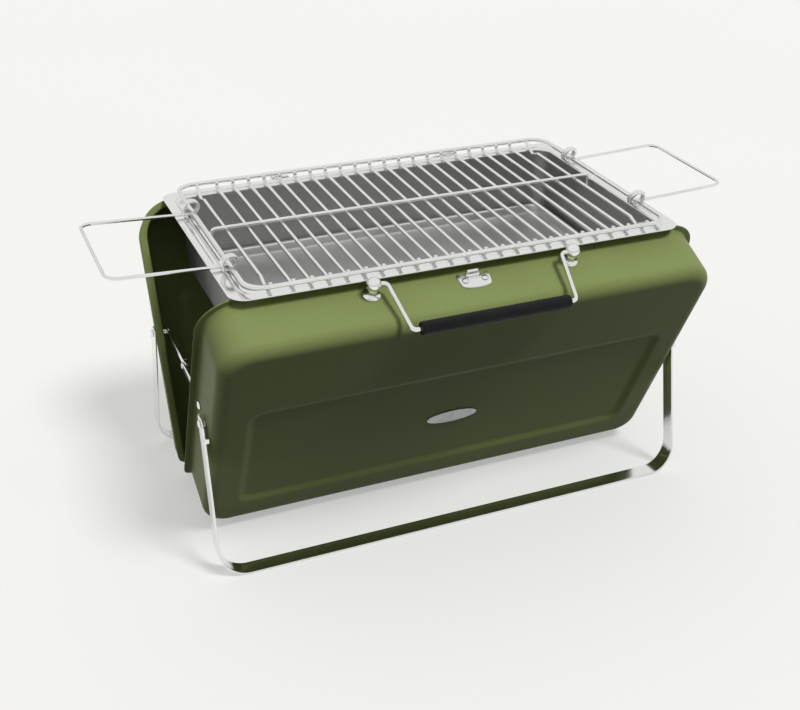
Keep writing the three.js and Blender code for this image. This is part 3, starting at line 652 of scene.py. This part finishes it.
# Rods lie just over the flange and turn up behind the frame wire; the end rods dip into the opening first.
def rodRoutes():
    y = grate["halfWidth"] - grate["wire"] - grate["rod"] - runGap
    tip, low = grate["height"] + grate["tip"], rodLevel - grate["dip"]
    plain = roundPath([[0, -y, tip], [0, -y, rodLevel], [0, y, rodLevel], [0, y, tip]], grate["bend"])
    half = [[0, y, tip], [0, y, rodLevel + grate["dipFrom"]], [0, grate["dipY"], low], [0, grate["levelY"], rodLevel]]
    dipped = roundPath(half + [[x, -py, z] for x, py, z in half[::-1]], grate["bend"])
    places = (np.arange(2 * grate["rodsEachSide"] + 1) - grate["rodsEachSide"]) * grate["pitch"]
    return [plain + [x, 0, 0] for x in places] + [dipped + [x, 0, 0] for x in (-grate["endRodX"], grate["endRodX"])]


spineLevel = rodLevel + 2 * grate["rod"] - grate["weld"]
spinePath = roundPath([[side * grate["spineHalf"], grate["spineY"], spineLevel - down]
                       for side, down in ((-1, grate["spineEnd"]), (-1, 0), (1, 0), (1, grate["spineEnd"]))],
                      grate["spineBend"])
rodShells = [tube(route, grate["rod"], xAxis, sides=16) for route in rodRoutes()]
rodShells.append(tube(spinePath, grate["rod"], yAxis, sides=16))
addPiece("grateFrameWire", frameLoop(), polishedSteel, "grate", "polished_steel", "grate_frame")
addPiece("grateRodSet", rodShells, polishedSteel, "grate", "polished_steel", "grate_rods", sharp=50.0)

# ---- side handles ----
handle = dict(wire=1.6, armY=62.0, reach=103.9, corner=11.0, coil=6.85, turns=2, coilPitch=3.7, axisHeight=286.8,
              rise=4.6, tail=3.0, lean=0.42, armLift=0.3)


# The wire coils twice round the frame's end wire, runs out, across and back, and coils again. The coil is
# (-r sin q, arm + pitch q / 2 pi, -r cos q); its sections are turned about y, those of the arms about z.
def sideHandle(turn):
    coil, armY = handle["coil"], handle["armY"]
    q = np.linspace(0.0, 2 * np.pi * handle["turns"], 28 * handle["turns"] + 1)
    winding = np.stack([-coil * np.sin(q), armY + handle["coilPitch"] * q / (2 * np.pi), -coil * np.cos(q)], axis=-1)
    winding = np.concatenate([winding, winding[-1:] + [-handle["tail"], 0.0, 0.0]])
    reach, start, end = handle["reach"], handle["armLift"] - coil, handle["rise"] - coil
    arms = roundPath([[coil, armY, start], [reach, armY, end], [reach, -armY, end], [coil, -armY, start]],
                     handle["corner"], steps=12)
    leaning = -turn * handle["lean"] * (winding[:, 2] + coil)  # both coils lean forwards at their tops
    other = winding * [1, -1, 1]
    winding[:, 1] += leaning
    other[:, 1] += leaning
    path = np.concatenate([winding[::-1], arms, other])
    along = unit(np.gradient(path, axis=0))
    side = np.broadcast_to(zAxis, path.shape).copy()
    count = len(winding)
    side[:count] = np.cross(along[:count], yAxis)
    side[-count:] = np.cross(along[-count:], -yAxis)
    path = path * [turn, turn, 1] + [turn * grate["halfLength"], 0, handle["axisHeight"]]
    return [tube(path, handle["wire"], side * [turn, turn, 1], sides=14)]


for side, turn in (("left", -1.0), ("right", 1.0)):
    addPiece("sideHandle" + side.title(), sideHandle(turn), polishedSteel, "side_handle_" + side, "polished_steel",
             "side_handle_" + side, sharp=55.0)
print("grate and side handles made")

# ---- carrying handles ----
carry = dict(postX=96.0, postD=16.6, ball=6.8, foot=7.9, stem=12.5, reach=49.7, armX=84.0, gripX=78.0, droop=5.5,
             wire=2.0, bend=4.5, neck=3.4, flare=0.9, flarePower=1.6, gripRadius=6.05, gripHalf=71.0,
             gripBore=2.35, gripEdge=1.5, gripSwell=0.05, gripHold=4.0, ballFrom=-56.0, ballTo=86.0, wireStart=3.0)
panTop = pan["top"] + runGap
ballHeight = panTop + carry["stem"]


# The post: a flared foot whose radius falls away as 1 / (1 + h / flare) to a power, a neck, and a round ball.
def postProfile():
    h = np.array([0.0, 0.35, 0.9, 1.5, 2.2, 3.0, 4.0, 5.2, 6.3])
    spread = (1 + np.maximum(h - h[1], 0.0) / carry["flare"]) ** carry["flarePower"]
    neck = carry["neck"] + (carry["foot"] - carry["neck"]) / spread
    neck[0] -= 0.25
    lift = np.radians(np.linspace(carry["ballFrom"], carry["ballTo"], 19))
    ball = np.stack([carry["stem"] + carry["ball"] * np.sin(lift), carry["ball"] * np.cos(lift)], axis=-1)
    return np.concatenate([np.stack([h, neck], axis=-1), ball])


for end in ("front", "back"):
    panRight, panUp = panAxes(end)[:2]
    worldSide = 1.0 if end == "front" else -1.0
    for side, sign in (("left", -worldSide), ("right", worldSide)):
        foot = onPan(end, sign * carry["postX"], panTop, carry["postD"])
        addPiece(f"{end}HandlePost{side.title()}", [turned(postProfile(), foot, panUp, sides=36)], polishedSteel,
                 end + "_pan", "polished_steel", f"{end}_handle_post_{side}")
    start = carry["postX"] - carry["wireStart"]
    corners = np.array([[-start, 0, 0], [-carry["armX"], 0, 0],
                        [-carry["gripX"], carry["reach"], -carry["droop"]],
                        [carry["gripX"], carry["reach"], -carry["droop"]], [carry["armX"], 0, 0],
                        [start, 0, 0]])
    loop = roundPath(corners, carry["bend"], steps=10)
    path = onPan(end, loop[:, 0], ballHeight + loop[:, 2], carry["postD"] + loop[:, 1])
    side = np.cross(panRight, path[len(path) // 2] - path[0])
    body = end + "_carry_handle"
    addPiece(end + "CarryWire", [tube(path, carry["wire"], side / np.linalg.norm(side), sides=18)], polishedSteel,
             body, "polished_steel", end + "_handle_wire", sharp=55.0)
    # the grip is a sleeve: out along the bore side, over a bevelled flat end, along and back
    half, radius, bore, edge = carry["gripHalf"], carry["gripRadius"], carry["gripBore"], carry["gripEdge"]
    ease = np.linspace(0.0, np.pi / 2, 5)
    endRows = [(half - edge * (1 - np.sin(q)), radius - edge * (1 - np.cos(q))) for q in ease]
    hold = half - carry["gripHold"]
    outer = [(-a, r) for a, r in endRows[::-1]] + [(-hold, radius), (0.0, radius + carry["gripSwell"]), (hold, radius)]
    profile = np.array([(-half, bore), (-half, radius - edge - 0.4)] + outer + endRows
                       + [(half, radius - edge - 0.4), (half, bore)])
    centre = onPan(end, 0.0, ballHeight - carry["droop"], carry["postD"] + carry["reach"])
    around = np.linspace(0.0, 2 * np.pi, 40, endpoint=False)
    one, other = unit(panUp), np.cross(unit(panRight), unit(panUp))
    grid = centre + profile[:, :1, None] * panRight + profile[:, 1:, None] * (
        np.cos(around)[:, None] * one + np.sin(around)[:, None] * other)
    addPiece(end + "GripSleeve", [skin(grid, ring=True)], blackGrip, body, "black_grip", end + "_handle_grip",
             sharp=45.0)
print("carrying handles made")

# ---- strike and latch ----
strike = dict(sheet=1.2, tongueRoot=6.6, tongueTip=5.2, tongueLow=0.62, tongueBend=2.2, rise=5.2,
              rivetX=9.5, rivetD=20.5)


# A closed outline through a few points: between two of them the point is the Catmull-Rom cubic of its neighbours.
def smoothOutline(points, steps=6):
    points = np.asarray(points, float)
    share = np.linspace(0.0, 1.0, steps, endpoint=False)[:, None, None]
    a, b, c, d = (np.roll(points, shift, axis=0)[None] for shift in (1, 0, -1, -2))
    curve = 0.5 * (2 * b + (c - a) * share + (2 * a - 5 * b + 4 * c - d) * share ** 2
                   + (3 * b - a - 3 * c + d) * share ** 3)
    return curve.transpose(1, 0, 2).reshape(-1, 2)


def strikeShells():
    origin = onPan("front", 0.0, panTop, 0.0)
    right, up, out = panAxes("front")
    # right half of the shield, from the middle of its low edge, over the ear and the notch to the tongue's root
    half = [(4.5, 28.7), (9.0, 28.0), (12.4, 26.6), (13.7, 25.2), (14.5, 20.0), (14.9, 15.0), (14.8, 12.9),
             (14.2, 12.7), (12.9, 15.2), (11.2, 17.3), (9.7, 17.9), (8.3, 17.2), (7.4, 15.6), (6.4, 14.9)]
    outline = smoothOutline([(0.0, 28.8)] + half + [(0.0, 14.9)] + [(-x, d) for x, d in half[::-1]])
    plate = slab(outline, strike["sheet"], 0.3, origin, right, out, up)
    # the tongue leaves the plate, turns up and narrows, and its lip leans back towards the tray
    lift = np.linspace(0.0, np.radians(75), 8)
    low, top, bend = strike["tongueLow"], strike["rise"], strike["tongueBend"]
    d = np.concatenate([[18.5, 16.6], 15.9 - bend * np.sin(lift), [13.2, 12.7, 11.9]])
    s = np.concatenate([[low, low], low + bend * (1 - np.cos(lift)), [3.9, top - 0.9, top - 0.6]])
    wide = strike["tongueRoot"] + (strike["tongueTip"] - strike["tongueRoot"]) * smoothStep((s - low) / 3.5)
    section = roundRow(-1.0, 1.0, -0.6, 0.6, 0.3, turns=3, across=3, up=1)
    return [plate, foldedSheet(np.stack([d, s], axis=-1), section, wide, origin, right, out, up)]


addPiece("strikePlateSheet", strikeShells(), polishedSteel, "front_pan", "polished_steel", "strike_plate")
rivetTop = np.concatenate([[[-0.5, 1.6], [0.0, 1.6], [0.0, 2.8]], dome(0.15, 3.0, 1.35)])
for side, x in (("left", -strike["rivetX"]), ("right", strike["rivetX"])):
    foot = onPan("front", x, panTop + strike["sheet"] + runGap, strike["rivetD"])
    addPiece("strikeRivet" + side.title(), [turned(rivetTop, foot, panAxes("front")[1])], polishedSteel,
             "front_pan", "polished_steel", "strike_rivet_" + side)

toggle = dict(axisD=20.0, rise=4.6, half=9.0, long=16.0, plateHalf=15.0, plateIn=11.0, plateOut=30.0, earX=11.0,
              earSheet=1.4, earRadius=3.5, pin=1.3, pinReach=13.6, barrel=2.4,
              leverRise=1.25, lipTurn=1.25, lipRadius=3.2, rivetX=9.5, rivetD=27.0)


def latchParts():
    origin = onPan("back", 0.0, panTop, 0.0)
    right, up, out = panAxes("back")
    axis = origin + toggle["axisD"] * out + toggle["rise"] * up
    plate = roundRow(-toggle["plateHalf"], toggle["plateHalf"], toggle["plateIn"], toggle["plateOut"], 2.4,
                     turns=6, across=4, up=3)
    base = [slab(plate, 1.2, 0.3, origin, right, out, up)]
    # each ear is a tongue with a round top over the lever's axis
    q = np.linspace(0.0, np.pi, 15)
    top = np.stack([toggle["earRadius"] * np.cos(q), toggle["rise"] + toggle["earRadius"] * np.sin(q)], axis=-1)
    ear = np.concatenate([top, [[-toggle["earRadius"], 0.2], [0.0, 0.2], [toggle["earRadius"], 0.2]]])
    for x in (toggle["earX"], -toggle["earX"] - toggle["earSheet"]):
        base.append(slab(ear, toggle["earSheet"], 0.3, origin + toggle["axisD"] * out + x * right, out, up, right))
    for x in (-toggle["rivetX"], toggle["rivetX"]):
        profile = np.concatenate([[[0.6, 1.6], [1.2, 2.0]], dome(1.25, 2.0, 0.9)])
        base.append(turned(profile, origin + toggle["rivetD"] * out + x * right, up, sides=24))
    # the lever: a sheet that wraps the pin, runs outwards and curls up at its lip
    section = roundRow(-toggle["half"], toggle["half"], -0.65, 0.65, 0.4, turns=3, across=3, up=1)
    curl = np.linspace(0.0, toggle["lipTurn"], 8)
    rise, lip = toggle["leverRise"], toggle["lipRadius"]
    d = np.concatenate([[0.0, 3.0, 8.0, toggle["long"] - 3.4], toggle["long"] - 3.0 + lip * np.sin(curl)])
    s = np.concatenate([[rise] * 4, rise + lip * (1 - np.cos(curl))])
    sheet = foldedSheet(np.stack([d, s], axis=-1), section, 1.0, axis, right, out, up)
    barrel = [[-toggle["half"], toggle["barrel"] - 0.3], [-toggle["half"] + 0.3, toggle["barrel"]],
              [toggle["half"] - 0.3, toggle["barrel"]], [toggle["half"], toggle["barrel"] - 0.3]]
    reach = toggle["pinReach"]
    pin = [[-reach, 1.0], [0.3 - reach, toggle["pin"]], [reach - 0.3, toggle["pin"]], [reach, 1.0]]
    lever = [sheet, turned(barrel, axis, right, sides=28), turned(pin, axis, right, sides=20)]
    return base, lever


latchBase, latchLever = latchParts()
addPiece("latchBasePlate", latchBase, polishedSteel, "back_pan", "polished_steel", "latch_base")
addPiece("latchLeverSheet", latchLever, polishedSteel, "latch", "polished_steel", "latch_lever")

# ---- badge ----
badge = dict(s=113.0, halfX=26.1, halfS=8.8, thick=1.3, rim=1.5, sink=0.45)


# An oval plate with a raised rim; each row is (a cos q, b sin q) at its own depth.
def badgeSkin():
    q = np.linspace(0.0, 2 * np.pi, 96, endpoint=False)
    back = pan["depth"] - recess["depth"] + 0.15
    high = back + badge["thick"]
    rows = [(0.6, back), (0.1, back), (0.0, back + 0.3), (0.0, high - 0.35), (0.12, high - 0.1), (0.4, high),
            (badge["rim"] - 0.4, high), (badge["rim"] - 0.1, high - 0.12), (badge["rim"] + 0.2, high - badge["sink"]),
            (badge["rim"] + 0.9, high - badge["sink"]), (5.0, high - badge["sink"])]
    grid = [onPan("front", (badge["halfX"] - inset) * np.cos(q), badge["s"] + (badge["halfS"] - inset) * np.sin(q), d)
            for inset, d in rows]
    return [skin(np.stack(grid))]


addPiece("badgePlate", badgeSkin(), badgeMetal, "front_pan", "badge_metal", "badge")
print("latch and badge made")

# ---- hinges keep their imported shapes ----
for name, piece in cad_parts.items():
    if "hinge" in name:
        piece.data.materials.clear()
        piece.data.materials.append(hingeSteel)

# ---- floor and light ----
studio = dict(floorHalf=60.0, sunPower=2.35, sunSoft=18.0, sunToward=(-0.32, 0.50, -1.0), shadeLow=0.05,
              shadeHigh=1.02, shadeRise=0.75, bright=(-0.5, 0.85, 0.0), brightLow=0.28, glossLow=0.32,
              glossHigh=0.84, glossRise=0.30, seen=0.90, tint=(1.0, 0.995, 0.98))


def addStudio():
    half = studio["floorHalf"]
    mesh = bpy.data.meshes.new("studioFloor")
    mesh.from_pydata([(-half, -half, 0), (half, -half, 0), (half, half, 0), (-half, half, 0)], [], [(0, 1, 2, 3)])
    mesh.materials.append(paleFloor)
    floor = bpy.data.objects.new("studioFloor", mesh)
    bpy.context.scene.collection.objects.link(floor)
    floor.visible_diffuse = False  # the floor doesn't throw its own light up at the grill
    lamp = bpy.data.lights.new("sun", "SUN")
    lamp.energy = studio["sunPower"]
    lamp.angle = np.radians(studio["sunSoft"])
    sun = bpy.data.objects.new("sun", lamp)
    sun.visible_glossy = False
    ahead = unit(np.array(studio["sunToward"]))
    one = unit(np.cross(yAxis, -ahead))
    sun.matrix_world = Matrix(np.column_stack([one, np.cross(-ahead, one), -ahead]).tolist()).to_4x4()
    bpy.context.scene.collection.objects.link(sun)
    # a plain bright room that grows brighter upwards; what the paint is shaded by climbs slower than what the
    # metal mirrors, and nothing comes from below the floor
    world = bpy.data.worlds.new("studioSky")
    world.use_nodes = True
    tree = world.node_tree
    aim = node(tree, "TexCoord").outputs["Generated"]
    upward = node(tree, "SeparateXYZ", inputs={0: aim}).outputs[2]
    shade = ranged(tree, upward, studio["shadeLow"], studio["shadeHigh"], 0.0, studio["shadeRise"])
    gloss = ranged(tree, upward, studio["glossLow"], studio["glossHigh"], 0.0, studio["glossRise"])
    toBright = node(tree, "VectorMath", {"operation": "DOT_PRODUCT"}, {0: aim, 1: studio["bright"]}).outputs["Value"]
    sided = ranged(tree, toBright, studio["brightLow"], 1.0, -0.5, 0.5)
    shade = node(tree, "Math", {"operation": "MULTIPLY"}, {0: shade, 1: sided}).outputs[0]
    path = node(tree, "LightPath")
    lit = node(tree, "Mix", inputs={0: path.outputs["Is Glossy Ray"], 2: shade, 3: gloss}).outputs[0]
    held = node(tree, "Mix", inputs={0: path.outputs["Is Camera Ray"], 2: lit, 3: studio["seen"]})
    background = tree.nodes["Background"]
    background.inputs["Color"].default_value = rgb(*studio["tint"])
    tree.links.new(held.outputs[0], background.inputs["Strength"])
    bpy.context.scene.world = world
    bpy.context.scene.view_settings.view_transform = "Standard"


addStudio()
print("floor and light set")
